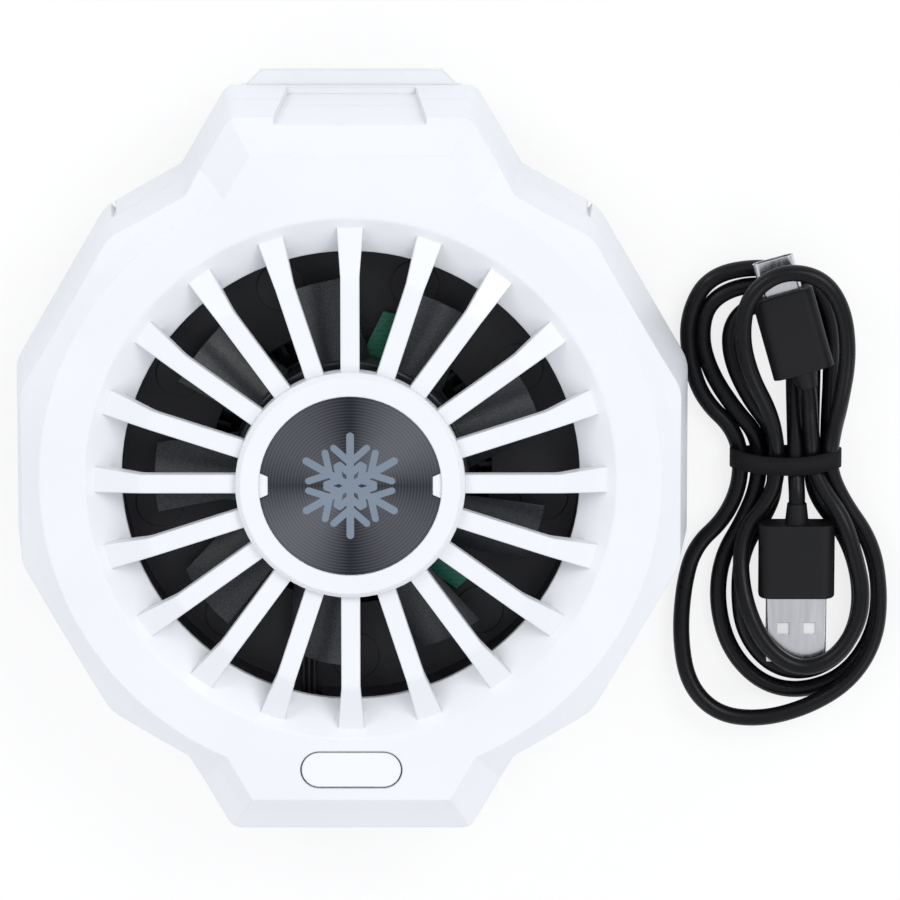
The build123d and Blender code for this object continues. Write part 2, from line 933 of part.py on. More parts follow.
with BuildPart() as peltier_module:
    for low in (flange_top_z, module_top_z - module_ceramic):
        with BuildSketch(z_plane(low)):
            Rectangle(module_side, module_side)
        extrude(amount=module_ceramic)
    with BuildSketch(z_plane(flange_top_z + module_ceramic)):
        with GridLocations(module_pellet_pitch, module_pellet_pitch, module_pellets, module_pellets):
            Rectangle(module_pellet, module_pellet)
    extrude(amount=module_height - 2 * module_ceramic)
keep(peltier_module, "peltier_module")

with BuildPart() as insulation_frame:
    with BuildSketch(z_plane(flange_top_z)):
        Rectangle(frame_side, frame_side)
        Rectangle(module_side + 2 * frame_gap, module_side + 2 * frame_gap, mode=Mode.SUBTRACT)
        with Locations((frame_notch_x, -frame_side / 2)):
            Rectangle(frame_notch, frame_side - module_side, mode=Mode.SUBTRACT)
    extrude(amount=module_height)
keep(insulation_frame, "insulation_frame")

with BuildPart() as heat_sink:
    with BuildSketch(z_plane(module_top_z)):
        Circle(sink_r)
        with Locations(*tray_spots):
            Circle(tray_leg_r)
        for turn in (45, 135, 225, 315):
            reach = tray_leg_at / 2
            turn_rad = math.radians(turn)
            with Locations(Location((reach * math.cos(turn_rad), reach * math.sin(turn_rad)), turn)):
                Rectangle(tray_leg_at, 2 * tray_leg_r)
        with Locations(*tray_spots):
            Circle(screw_clear_r, mode=Mode.SUBTRACT)
    extrude(amount=sink_base)
    with BuildSketch(z_plane(sink_top_z)):
        with PolarLocations((fin_in_r + fin_out_r) / 2, fin_count):
            Rectangle(fin_out_r - fin_in_r, fin_thickness)
    extrude(amount=fin_height)
keep(heat_sink, "heat_sink")

# Fan tray with the bearing tower, and the motor
tray_ring_top_z = front_z - lip_drop - tray_ring_gap
arm_spots = [
    (arm_screw_at * math.cos(math.radians(turn)), arm_screw_at * math.sin(math.radians(turn)))
    for turn in arm_angles
]
with BuildPart() as fan_tray:
    with BuildSketch(z_plane(tray_z)):
        Circle(tray_r)
        for turn in (45, 135, 225, 315):
            reach = tray_leg_at / 2
            turn_rad = math.radians(turn)
            with Locations(Location((reach * math.cos(turn_rad), reach * math.sin(turn_rad)), turn)):
                Rectangle(tray_leg_at, 2 * tray_leg_r)
        with Locations(*tray_spots):
            Circle(tray_leg_r)
    extrude(amount=tray_thickness)
    with BuildSketch(z_plane(tray_z)):
        Circle(tray_window_out)
        Circle(tray_window_in, mode=Mode.SUBTRACT)
        for turn in arm_angles:
            reach = tray_window_out / 2
            turn_rad = math.radians(turn)
            with Locations(Location((reach * math.cos(turn_rad), reach * math.sin(turn_rad)), turn)):
                Rectangle(tray_window_out + overrun, tray_window_in * tray_window_share, mode=Mode.SUBTRACT)
    extrude(amount=tray_thickness, mode=Mode.SUBTRACT)
    with BuildSketch(z_plane(tray_z)):
        Circle(tray_r)
        Circle(tray_r - tray_ring_wall, mode=Mode.SUBTRACT)
    extrude(amount=tray_ring_top_z - tray_z)
    with BuildSketch(z_plane(tray_top_z)):
        with PolarLocations(tray_mark_at, tray_mark_count, start_angle=tray_mark_first):
            Circle(tray_mark_r)
    extrude(amount=tray_mark_height)
    with BuildSketch(z_plane(tray_top_z)):
        Circle(tower_r)
    extrude(amount=tower_height)
    with BuildSketch(z_plane(tray_top_z)):
        with Locations(*arm_spots):
            Circle(arm_width / 2)
    extrude(amount=motor_board_z - tray_top_z)
    with BuildSketch(z_plane(sink_top_z)):
        with Locations(*tray_spots):
            Circle(tray_leg_r)
    extrude(amount=tray_z - sink_top_z)
    # Bore of the bearing, screw holes and the notch for the motor leads
    with BuildSketch(z_plane(tray_z + bearing_floor)):
        Circle(bearing_r)
    extrude(amount=tower_height + tray_thickness, mode=Mode.SUBTRACT)
    with BuildSketch(z_plane(sink_top_z)):
        with Locations(*tray_spots):
            Circle(screw_clear_r)
    extrude(amount=tray_top_z - sink_top_z + overrun, mode=Mode.SUBTRACT)
    with BuildSketch(z_plane(tray_z + bearing_floor)):
        with Locations(*arm_spots):
            Circle(socket_r)
    extrude(amount=overrun, mode=Mode.SUBTRACT)
    with BuildSketch(z_plane(tray_top_z)):
        with Locations((motor_lead_x, -tray_r)):
            Rectangle(tray_notch_width, tray_notch_width)
    extrude(amount=tray_ring_top_z - tray_top_z, mode=Mode.SUBTRACT)
keep(fan_tray, "fan_tray")

bearing_low_z = tray_z + bearing_floor
clip_z = bearing_low_z + clip_thickness
with BuildPart() as sleeve_bearing:
    with BuildSketch(z_plane(clip_z + 2 * clip_thickness)):
        Circle(bearing_r)
        Circle(shaft_r + shaft_clearance, mode=Mode.SUBTRACT)
    extrude(amount=tower_top_z - clip_z - 2 * clip_thickness)
keep(sleeve_bearing, "sleeve_bearing")

with BuildPart() as fan_shaft:
    with BuildSketch(z_plane(bearing_low_z + clip_thickness / 2)):
        Circle(shaft_r)
    extrude(amount=impeller_roof_z - bearing_low_z - clip_thickness / 2)
keep(fan_shaft, "fan_shaft")

with BuildPart() as shaft_clip:
    with BuildSketch(z_plane(clip_z)):
        Circle(clip_r)
        Circle(shaft_r, mode=Mode.SUBTRACT)
    extrude(amount=clip_thickness)
keep(shaft_clip, "shaft_clip")

with BuildPart() as motor_board:
    with BuildSketch(z_plane(motor_board_z)):
        Circle(motor_board_r)
        for turn in arm_angles:
            with Locations(Location((0, 0), turn)):
                Polygon(
                    (0, -arm_root_width / 2),
                    (motor_board_r, -arm_root_width / 2),
                    (arm_reach, -arm_end_width / 2),
                    (arm_reach, arm_end_width / 2),
                    (motor_board_r, arm_root_width / 2),
                    (0, arm_root_width / 2),
                    align=None,
                )
        Circle(tower_r + motor_board_gap, mode=Mode.SUBTRACT)
        with Locations(*arm_spots):
            Circle(socket_r, mode=Mode.SUBTRACT)
    extrude(amount=motor_board_thickness)
keep(motor_board, "motor_board")

with BuildPart() as stator_core:
    with BuildSketch(z_plane(stator_z)):
        Circle(stator_core_r)
        with PolarLocations(stator_r / 2, stator_teeth):
            Rectangle(stator_r - tooth_tip / 2, tooth_width)
        with PolarLocations(stator_r - tooth_tip, stator_teeth):
            Rectangle(tooth_tip, tooth_tip_width)
        Circle(tower_r, mode=Mode.SUBTRACT)
    extrude(amount=stator_height)
keep(stator_core, "stator_core")

winding_in_r = stator_core_r + winding_clearance
winding_out_r = stator_r - tooth_tip - tooth_tip / 2 - winding_clearance
with BuildPart() as stator_windings:
    with BuildSketch(z_plane(stator_z - winding_bulge)):
        with PolarLocations((winding_in_r + winding_out_r) / 2, stator_teeth):
            Rectangle(winding_out_r - winding_in_r - winding_clearance, winding_width)
    extrude(amount=stator_height + 2 * winding_bulge)
    with BuildSketch(z_plane(stator_z)):
        with PolarLocations(stator_r / 2, stator_teeth):
            Rectangle(stator_r, tooth_width)
    extrude(amount=stator_height, mode=Mode.SUBTRACT)
keep(stator_windings, "stator_windings")

# Rotor: impeller, yoke and magnet
blade_reach = blade_tip_r + overrun
with BuildPart() as blade:
    for at, chord, rise, lead in (
        (blade_root_r, blade_root_chord, blade_root_rise, -blade_root_lag),
        (blade_reach, blade_tip_chord, blade_tip_rise, blade_tip_lead),
    ):
        low = (lead - chord / 2, blade_z)
        high = (lead + chord / 2, blade_z + rise)
        middle = (lead, blade_z + rise / 2 + blade_camber)
        with BuildSketch(Plane(origin=(at, 0, 0), x_dir=(0, 1, 0), z_dir=(1, 0, 0))):
            with BuildLine():
                ThreePointArc(low, middle, high)
                Line(high, (high[0], high[1] + blade_thickness))
                ThreePointArc(
                    (high[0], high[1] + blade_thickness),
                    (middle[0], middle[1] + blade_thickness),
                    (low[0], low[1] + blade_thickness),
                )
                Line((low[0], low[1] + blade_thickness), low)
            make_face()
    loft()
    with BuildSketch(z_plane(blade_z - overrun)):
        Circle(blade_tip_r)
        Circle(impeller_hub_r - impeller_wall / 2, mode=Mode.SUBTRACT)
    extrude(amount=4 * overrun, mode=Mode.INTERSECT)

with BuildPart() as impeller:
    with BuildSketch(z_plane(impeller_skirt_z)):
        Circle(impeller_hub_r)
    extrude(amount=impeller_top_z - impeller_skirt_z)
    fillet(faces().sort_by(Axis.Z)[-1].edges(), impeller_edge_fillet)
    with BuildSketch(z_plane(impeller_skirt_z)):
        Circle(impeller_hub_r - impeller_wall)
    extrude(amount=impeller_roof_z - impeller_skirt_z, mode=Mode.SUBTRACT)
    with PolarLocations(0, blade_count, start_angle=blade_first_angle):
        add(blade.part)
    with BuildSketch(z_plane(impeller_roof_z - impeller_boss_depth)):
        Circle(impeller_boss_r)
        Circle(shaft_r, mode=Mode.SUBTRACT)
    extrude(amount=impeller_boss_depth)
keep(impeller, "impeller")

yoke_r = magnet_r + yoke_wall
yoke_low_z = impeller_roof_z - yoke_wall - magnet_height
with BuildPart() as rotor_yoke:
    with BuildSketch(z_plane(yoke_low_z)):
        Circle(yoke_r)
    extrude(amount=impeller_roof_z - yoke_low_z)
    with BuildSketch(z_plane(yoke_low_z)):
        Circle(magnet_r)
    extrude(amount=magnet_height, mode=Mode.SUBTRACT)
    with BuildSketch(z_plane(yoke_low_z)):
        Circle(impeller_boss_r + rotor_clearance)
    extrude(amount=impeller_roof_z - yoke_low_z, mode=Mode.SUBTRACT)
keep(rotor_yoke, "rotor_yoke")

with BuildPart() as rotor_magnet:
    with BuildSketch(z_plane(yoke_low_z)):
        Circle(magnet_r)
        Circle(magnet_inner_r, mode=Mode.SUBTRACT)
    extrude(amount=magnet_height)
keep(rotor_magnet, "rotor_magnet")

# Clamp: sliding jaw with its pull and pins, and the fixed jaw
grip_half = phone_grip / 2
jaw_face_y = grip_half + jaw_pad


def jaw_body(sign):
    """A jaw's plate, hook and pull, on the side that the sign gives."""
    with BuildPart() as body:
        with BuildSketch(z_plane(rear_face_z)):
            with BuildLine():
                Polyline(
                    (plate_half, sign * plate_inner_y),
                    (plate_half, sign * rail_end_y),
                    (pull_root_half, sign * (tab_end + draft)),
                    (pull_half + pull_corner, sign * (pull_end_y - pull_corner)),
                    (pull_half, sign * pull_end_y),
                    (-pull_half, sign * pull_end_y),
                    (-pull_half - pull_corner, sign * (pull_end_y - pull_corner)),
                    (-pull_root_half, sign * (tab_end + draft)),
                    (-plate_half, sign * rail_end_y),
                    (-plate_half, sign * plate_inner_y),
                    close=True,
                )
            make_face()
        extrude(amount=clamp_thickness)
        with BuildSketch(z_plane(clamp_top_z - plate_flange_thickness)):
            with Locations((0, sign * (plate_inner_y + rail_end_y) / 2)):
                Rectangle(2 * (plate_half + plate_flange), rail_end_y - plate_inner_y)
        extrude(amount=plate_flange_thickness)
        with BuildSketch(Plane.YZ.offset(-jaw_width / 2)):
            with BuildLine():
                Polyline(
                    (sign * jaw_face_y, rear_face_z),
                    (sign * jaw_face_y, jaw_lip),
                    (sign * (jaw_face_y - jaw_hook), jaw_lip),
                    (sign * (jaw_face_y - jaw_hook), jaw_lip / 3),
                    (sign * (jaw_face_y - jaw_hook + jaw_lip / 2), 0),
                    (sign * (jaw_face_y + jaw_wall), 0),
                    (sign * (jaw_face_y + jaw_wall), rear_face_z),
                    close=True,
                )
            make_face()
        extrude(amount=jaw_width)
    return body.part


with BuildPart() as clamp_slide:
    add(jaw_body(1))
    with BuildSketch(z_plane(clamp_top_z)):
        with Locations(*[(side * spring_x, slide_pin_y) for side in (1, -1)]):
            Circle(slide_pin_r)
    extrude(amount=slide_pin_height)
keep(clamp_slide, "clamp_slide")

with BuildPart() as fixed_jaw:
    add(jaw_body(-1))
    with BuildSketch(z_plane(rear_face_z)):
        with Locations(*jaw_spots):
            Circle(screw_clear_r)
    extrude(amount=clamp_thickness, mode=Mode.SUBTRACT)
    with BuildSketch(z_plane(rear_face_z)):
        with Locations(*jaw_spots):
            Circle(head_clear_r)
    extrude(amount=head_height, mode=Mode.SUBTRACT)
keep(fixed_jaw, "fixed_jaw")

for name, sign in (("jaw_pad_moving", 1), ("jaw_pad_fixed", -1)):
    with BuildPart() as pad:
        with BuildSketch(Plane.XZ.offset(-sign * grip_half)):
            with Locations((0, jaw_lip + phone_room / 2)):
                RectangleRounded(jaw_pad_width, jaw_pad_height, pad_corner_r)
        extrude(amount=-sign * jaw_pad)
    keep(pad, name)

for name, sign in (("clamp_spring_left", -1), ("clamp_spring_right", 1)):
    with BuildPart() as spring:
        with BuildSketch(Plane.XZ.offset(-spring_start_y)):
            with Locations((sign * spring_x, floor_z + spring_r + clamp_clearance)):
                Circle(spring_r)
                Circle(spring_r - spring_wire, mode=Mode.SUBTRACT)
        extrude(amount=spring_start_y - spring_end_y)
    keep(spring, name)

# Screws, one node for each kind


def screws(name, spots, head_low_z, length, thread_r, cap_r, up):
    """Pan head screws whose heads start at a height and whose shanks go up or down from there."""
    sign = 1 if up else -1
    with BuildPart() as group:
        with BuildSketch(z_plane(head_low_z)):
            with Locations(*spots):
                Circle(cap_r)
        extrude(amount=head_height * sign)
        with BuildSketch(z_plane(head_low_z)):
            with Locations(*spots):
                RegularPolygon(cap_r / 2, 6)
        extrude(amount=socket_depth * sign, mode=Mode.SUBTRACT)
        with BuildSketch(z_plane(head_low_z + head_height * sign)):
            with Locations(*spots):
                Circle(thread_r)
        extrude(amount=length * sign)
    keep(group, name)


screws("case_screws", case_spots, deck_z, case_screw_length, screw_r, head_r, True)
screws("jaw_screws", jaw_spots, rear_face_z, short_screw_length, screw_r, head_r, True)
screws("tray_screws", tray_spots, tray_top_z + head_height, tray_screw_length, screw_r, head_r, False)
screws("board_screws", board_spots, board_top_z + head_height, short_screw_length, screw_r, head_r, False)
with BuildPart() as motor_screws:
    with BuildSketch(z_plane(motor_board_top_z)):
        with Locations(*arm_spots):
            Circle(2 * socket_r)
            Circle(socket_r, mode=Mode.SUBTRACT)
    extrude(amount=motor_head_height / 2)
    with BuildSketch(z_plane(tray_z + bearing_floor)):
        with Locations(*arm_spots):
            Circle(socket_r)
    extrude(amount=motor_board_top_z + motor_head_height / 4 - tray_z - bearing_floor)
keep(motor_screws, "motor_screws")

# Wires inside the case
motor_lead_z = tray_top_z + wire_r + clip_thickness / 8
with BuildPart() as motor_leads:
    with BuildSketch(Plane.XZ.offset(-board_edge_y)):
        with Locations((motor_lead_x, motor_lead_z)):
            with GridLocations(motor_lead_pitch, motor_lead_pitch, motor_lead_count, 1):
                Circle(wire_r)
    extrude(amount=board_edge_y + motor_board_r * motor_lead_in_share)
keep(motor_leads, "motor_leads")

pellet_edge = (module_pellets - 1) / 2 * module_pellet_pitch + module_pellet / 2
with BuildPart() as peltier_leads:
    for step in (0, 1):
        lead_x = frame_notch_x + (step - 1 / 2) * peltier_lead_pitch
        with BuildLine(Plane.YZ.offset(lead_x)):
            FilletPolyline(
                (-pellet_edge, peltier_lead_z),
                (peltier_lead_end_y, peltier_lead_z),
                (peltier_lead_end_y, board_z),
                radius=peltier_lead_bend_r,
            )
        with BuildSketch(Plane.XZ.offset(pellet_edge)):
            with Locations((lead_x, peltier_lead_z)):
                Circle(peltier_lead_r)
        sweep()
keep(peltier_leads, "peltier_leads")

# Lead: the cord's route through the hank, then its tie and its plugs
low_layer = cord_r + tie_wall + tie_gap / 2
high_layer = low_layer + layer_step
legs = []


def s_bend(start, end):
    """Two equal arcs from a point to another whose ends both run along Y."""
    length = end[1] - start[1]
    side = (end[0] - start[0], end[2] - start[2])
    offset = math.hypot(*side)
    bend_r = (length**2 + offset**2) / (4 * offset)
    half = math.asin(abs(length) / 2 / bend_r) / 2
    along = math.copysign(bend_r * math.sin(half), length)
    across = bend_r * (1 - math.cos(half)) / offset
    middle = tuple((one + other) / 2 for one, other in zip(start, end))
    first = (start[0] + across * side[0], start[1] + along, start[2] + across * side[1])
    second = (end[0] - across * side[0], end[1] - along, end[2] - across * side[1])
    legs.append((start, first, middle))
    legs.append((middle, second, end))
    return end


def half_turn(start, end_x, sign):
    """A half circle in a layer, as two quarters, from a point to another at the same height."""
    turn_r = abs(end_x - start[0]) / 2
    centre_x = (end_x + start[0]) / 2
    share = math.sqrt(1 / 2)
    step_x = (start[0] - centre_x) * share
    step_y = sign * turn_r * share
    crown = (centre_x, start[1] + sign * turn_r, start[2])
    end = (end_x, start[1], start[2])
    legs.append((start, (centre_x + step_x, start[1] + step_y, start[2]), crown))
    legs.append((crown, (centre_x - step_x, start[1] + step_y, start[2]), end))
    return end


def straight(start, end):
    """A straight run."""
    legs.append((start, end))
    return end


def loop_down(here, waist_x, lower_x, height):
    """From the top turn's end down through the waist to the start of the lower run."""
    here = straight(here, (here[0], upper_bend, height))
    here = s_bend(here, (waist_x, 0, height))
    return s_bend(here, (lower_x, -lower_bend, height))


def loop_up(here, waist_x, height):
    """From the bottom turn's end up to the waist."""
    here = straight(here, (here[0], -lower_bend, height))
    return s_bend(here, (waist_x, 0, height))


waists = [waist_inner + waist_step * k for k in range(3)]
lower_lefts = [lower_left_inner, lower_left_inner + lower_step, loose_left]
lower_rights = [lower_right_inner + lower_step * k for k in range(3)]
upper_lefts = [upper_left_inner + upper_left_step * k for k in range(3)]
upper_rights = [upper_right_inner + upper_right_step * k for k in range(3)]
big_loop_z = high_layer + big_loop_rise
over_loop_z = high_layer + over_loop_rise
here = s_bend((plug_a_x, plug_a_y, low_layer + plug_a_rise), (waists[0], 0, high_layer))
here = s_bend(here, (upper_rights[0], upper_bend, low_layer))
for k in range(3):
    here = straight(here, (upper_rights[k], upper_turn, low_layer))
    here = half_turn(here, -upper_lefts[k], 1)
    here = loop_down(here, -waists[k], -lower_lefts[k], low_layer)
    if k < 2:
        here = straight(here, (-lower_lefts[k], -lower_turn, low_layer))
        here = half_turn(here, lower_rights[k + 1], -1)
        here = loop_up(here, waists[k + 1], low_layer)
        here = s_bend(here, (upper_rights[k + 1], upper_bend, low_layer))
# The loose loop climbs to the upper layer
here = s_bend(here, (-loose_left, -loose_turn, high_layer))
here = half_turn(here, lower_rights[2], -1)
here = straight(here, (lower_rights[2], -loose_bend, high_layer))
here = s_bend(here, (waists[2], 0, high_layer))
# The big loop arches over the small plug
here = s_bend(here, (big_loop_right, big_loop_bend, big_loop_z))
here = straight(here, (big_loop_right, big_loop_turn, big_loop_z))
here = half_turn(here, -big_loop_left, 1)
here = straight(here, (-big_loop_left, lower_bend, big_loop_z))
here = s_bend(here, (-waists[0], 0, high_layer))
# The last loop lies over the large plug's shell
here = s_bend(here, (-over_loop_left, -over_loop_start, high_layer))
here = s_bend(here, (-over_loop_left, -over_loop_turn, over_loop_z))
here = half_turn(here, over_loop_right, -1)
here = s_bend(here, (over_loop_right_start, -over_loop_start, high_layer + over_loop_mid_rise))
here = s_bend(here, (waists[1], 0, high_layer))
here = straight(here, (waists[1], plug_c_start, high_layer))
tilt = math.radians(plug_c_tilt)
plug_c_z = low_layer + plug_c_rise
bend_start = (
    plug_c_x + plug_c_turn_r * (1 - math.cos(tilt)),
    plug_c_y - plug_c_turn_r * math.sin(tilt),
    plug_c_z,
)
here = s_bend(here, bend_start)
legs.append((
    here,
    (
        here[0] - plug_c_turn_r * (1 - math.cos(tilt / 2)),
        here[1] + plug_c_turn_r * math.sin(tilt / 2),
        plug_c_z,
    ),
    (plug_c_x, plug_c_y, plug_c_z),
))

hank_place = Location((hank_x, hank_y, 0))
with BuildPart() as cable_hank:
    with BuildLine() as route:
        for leg in legs:
            if len(leg) == 2:
                Line(*leg)
            else:
                ThreePointArc(*leg)
    with BuildSketch(Plane(origin=legs[0][0], x_dir=(1, 0, 0), z_dir=(0, 1, 0))):
        Circle(cord_r)
    sweep(path=route.wires()[0])
    cord_length = route.wires()[0].length
cable_hank.part.locate(hank_place)
keep(cable_hank, "cable_hank")

# The cord's least gap to itself, measured between points along its route
spots = [tuple(route.wires()[0].position_at(step / gap_points)) for step in range(gap_points)]
apart = math.ceil(gap_apart / cord_length * gap_points)
centre_gap = min(
    math.dist(one, other) for index, one in enumerate(spots) for other in spots[index + apart :]
)
print(f"cord {cord_length:.1f} mm long, least gap to itself {centre_gap - 2 * cord_r:.2f} mm")

tie_half = waists[2] + cord_r + 2 * tie_gap
tie_inner_top = high_layer + cord_r + tie_top_room
with BuildPart() as cable_tie:
    with BuildSketch(Plane.XZ.offset(-hank_y - tie_width / 2)):
        with Locations((hank_x, (tie_wall + tie_inner_top) / 2)):
            RectangleRounded(
                2 * (tie_half + tie_wall), tie_inner_top + tie_wall, tie_corner_r + tie_wall
            )
            RectangleRounded(2 * tie_half, tie_inner_top - tie_wall, tie_corner_r, mode=Mode.SUBTRACT)
    extrude(amount=tie_width)
keep(cable_tie, "cable_tie")

# Plugs, each drawn along -Y from the cord's end and then turned into place
plug_a_place = Location((hank_x + plug_a_x, hank_y + plug_a_y, low_layer + plug_a_rise))
plug_c_place = Location((hank_x + plug_c_x, hank_y + plug_c_y, plug_c_z), (0, 0, 180 + plug_c_tilt))
shell_a_y = -relief_length - plug_a_length
shell_c_y = -relief_c_length - plug_c_length


def overmould(relief, relief_r, width, length, height, corner):
    """A plug's moulded body and its strain relief."""
    with BuildPart() as body:
        with BuildSketch(Plane.XZ):
            Circle(cord_r + tie_gap)
        with BuildSketch(Plane.XZ.offset(relief)):
            Circle(relief_r)
        loft()
        with BuildSketch(Plane.XZ.offset(relief)):
            RectangleRounded(width, height, corner)
        extrude(amount=length)
        fillet(body.faces().sort_by(Axis.Y)[0].edges(), corner / 4)
    return body.part


def shell(width, height, length, shell_wall, y, rounded):
    """A plug's metal shell, open at its mouth."""
    with BuildPart() as tube:
        with BuildSketch(Plane.XZ.offset(-y)):
            if rounded:
                SlotOverall(width, height)
                SlotOverall(width - 2 * shell_wall, height - 2 * shell_wall, mode=Mode.SUBTRACT)
            else:
                RectangleRounded(width, height, shell_wall)
                Rectangle(width - 2 * shell_wall, height - 2 * shell_wall, mode=Mode.SUBTRACT)
        extrude(amount=length)
    return tube.part


with BuildPart() as usb_a_overmold:
    add(overmould(relief_length, relief_end_r, plug_a_width, plug_a_length, plug_a_height, plug_a_corner))
usb_a_overmold.part.locate(plug_a_place)
keep(usb_a_overmold, "usb_a_overmold")

with BuildPart() as usb_a_shell:
    add(shell(shell_a_width, shell_a_height, shell_a_length, shell_a_wall, shell_a_y, False))
    with BuildSketch(z_plane(-shell_a_height)):
        with Locations(*[(side * shell_a_window_x, shell_a_y - shell_a_window_at) for side in (1, -1)]):
            Rectangle(shell_a_window, shell_a_window)
    extrude(amount=2 * shell_a_height, mode=Mode.SUBTRACT)
usb_a_shell.part.locate(plug_a_place)
keep(usb_a_shell, "usb_a_shell")

with BuildPart() as usb_a_tongue:
    with BuildSketch(Plane.XZ.offset(-shell_a_y)):
        with Locations((0, shell_a_height / 2 - shell_a_wall - tongue_a_height / 2)):
            Rectangle(tongue_a_width, tongue_a_height)
    extrude(amount=shell_a_length - tongue_a_short)
usb_a_tongue.part.locate(plug_a_place)
keep(usb_a_tongue, "usb_a_tongue")

with BuildPart() as usb_c_overmold:
    add(overmould(relief_c_length, relief_c_end_r, plug_c_width, plug_c_length, plug_c_height, plug_c_corner))
usb_c_overmold.part.locate(plug_c_place)
keep(usb_c_overmold, "usb_c_overmold")

with BuildPart() as usb_c_shell:
    add(shell(shell_c_width, shell_c_height, shell_c_length, shell_c_wall, shell_c_y, True))
usb_c_shell.part.locate(plug_c_place)
keep(usb_c_shell, "usb_c_shell")
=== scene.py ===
import json
import math

import bpy
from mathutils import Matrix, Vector


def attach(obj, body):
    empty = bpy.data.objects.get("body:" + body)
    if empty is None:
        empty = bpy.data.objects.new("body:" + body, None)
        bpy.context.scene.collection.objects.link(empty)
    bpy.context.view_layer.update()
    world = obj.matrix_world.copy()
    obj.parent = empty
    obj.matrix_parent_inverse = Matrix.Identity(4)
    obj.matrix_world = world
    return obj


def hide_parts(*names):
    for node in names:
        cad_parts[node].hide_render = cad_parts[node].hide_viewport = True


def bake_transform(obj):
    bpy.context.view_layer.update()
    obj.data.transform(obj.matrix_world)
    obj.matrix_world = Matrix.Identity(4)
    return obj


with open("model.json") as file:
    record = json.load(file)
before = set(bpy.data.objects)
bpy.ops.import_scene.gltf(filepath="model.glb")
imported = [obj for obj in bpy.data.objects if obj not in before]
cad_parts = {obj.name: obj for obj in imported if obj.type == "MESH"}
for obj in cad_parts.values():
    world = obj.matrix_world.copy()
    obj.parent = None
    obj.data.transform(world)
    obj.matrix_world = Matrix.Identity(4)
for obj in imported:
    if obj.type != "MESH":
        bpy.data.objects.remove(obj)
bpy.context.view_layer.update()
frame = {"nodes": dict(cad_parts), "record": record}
scene = bpy.context.scene
MM = 0.001

# Camera: tilted from the fan's axis towards the clamp's end, aimed near the front face
TILT = math.radians(12)
DISTANCE = 1.5
LENS, SENSOR_WIDTH, CLIP_END = 307.7, 36, 10
FACE_Z, AIM_RIGHT, AIM_UP = 45.2 * MM, 19.4 * MM, 6.0 * MM
look_from = Vector((0, math.sin(TILT), math.cos(TILT)))
up = Vector((0, math.cos(TILT), -math.sin(TILT)))
aim = Vector((AIM_RIGHT, 0, FACE_Z)) + up * AIM_UP
camera_data = bpy.data.cameras.new("camera")
camera_data.lens = LENS
camera_data.sensor_width = SENSOR_WIDTH
camera_data.clip_end = CLIP_END
camera = bpy.data.objects.new("camera", camera_data)
camera.location = aim + look_from * DISTANCE
camera.rotation_euler = (-TILT, 0, 0)
scene.collection.objects.link(camera)
scene.camera = camera

# Materials: lengths in metres, texture scales per metre
CLOUD_SCALE, CLOUD_DETAIL, GRAIN_DETAIL = 38.0, 3.0, 2.0
SHADE_LOW, SHADE_HIGH = 0.35, 0.65
NOISE_LOW, NOISE_HIGH = 0.3, 0.7
BEVEL_SAMPLES = 6
WAVE_UNIT = math.pi / 10


def new_material(name):
    """A material with a Principled shader, its nodes and its links."""
    material = bpy.data.materials.new(name)
    material.use_nodes = True
    tree = material.node_tree
    return material, tree, tree.nodes["Principled BSDF"]


def noise(tree, scale, detail=4.0, rough=0.55, stretch=None):
    """A noise texture in the object's own coordinates."""
    coords = tree.nodes.new("ShaderNodeTexCoord")
    texture = tree.nodes.new("ShaderNodeTexNoise")
    texture.inputs["Scale"].default_value = scale
    texture.inputs["Detail"].default_value = detail
    texture.inputs["Roughness"].default_value = rough
    if stretch:
        mapping = tree.nodes.new("ShaderNodeMapping")
        mapping.inputs["Scale"].default_value = stretch
        tree.links.new(coords.outputs["Object"], mapping.inputs["Vector"])
        tree.links.new(mapping.outputs["Vector"], texture.inputs["Vector"])
    else:
        tree.links.new(coords.outputs["Object"], texture.inputs["Vector"])
    return texture.outputs["Fac"]


def ramp(tree, value, low, high, low_colour, high_colour):
    """A colour between two, as the value goes from low to high."""
    node = tree.nodes.new("ShaderNodeValToRGB")
    node.color_ramp.elements[0].position = low
    node.color_ramp.elements[1].position = high
    node.color_ramp.elements[0].color = (*low_colour, 1)
    node.color_ramp.elements[1].color = (*high_colour, 1)
    tree.links.new(value, node.inputs["Fac"])
    return node.outputs["Color"]


def spread(tree, value, low, high):
    """The value, mapped from a noise's usual span to low and high."""
    node = tree.nodes.new("ShaderNodeMapRange")
    node.inputs["From Min"].default_value = NOISE_LOW
    node.inputs["From Max"].default_value = NOISE_HIGH
    node.inputs["To Min"].default_value = low
    node.inputs["To Max"].default_value = high
    tree.links.new(value, node.inputs["Value"])
    return node.outputs["Result"]


def bump(tree, shader, height, depth, strength=0.5, edge=0.0):
    """A bump in metres on the shader, over edges rounded by a radius."""
    node = tree.nodes.new("ShaderNodeBump")
    node.inputs["Strength"].default_value = strength
    node.inputs["Distance"].default_value = depth
    tree.links.new(height, node.inputs["Height"])
    if edge:
        rounded = tree.nodes.new("ShaderNodeBevel")
        rounded.samples = BEVEL_SAMPLES
        rounded.inputs["Radius"].default_value = edge
        tree.links.new(rounded.outputs["Normal"], node.inputs["Normal"])
    tree.links.new(node.outputs["Normal"], shader.inputs["Normal"])


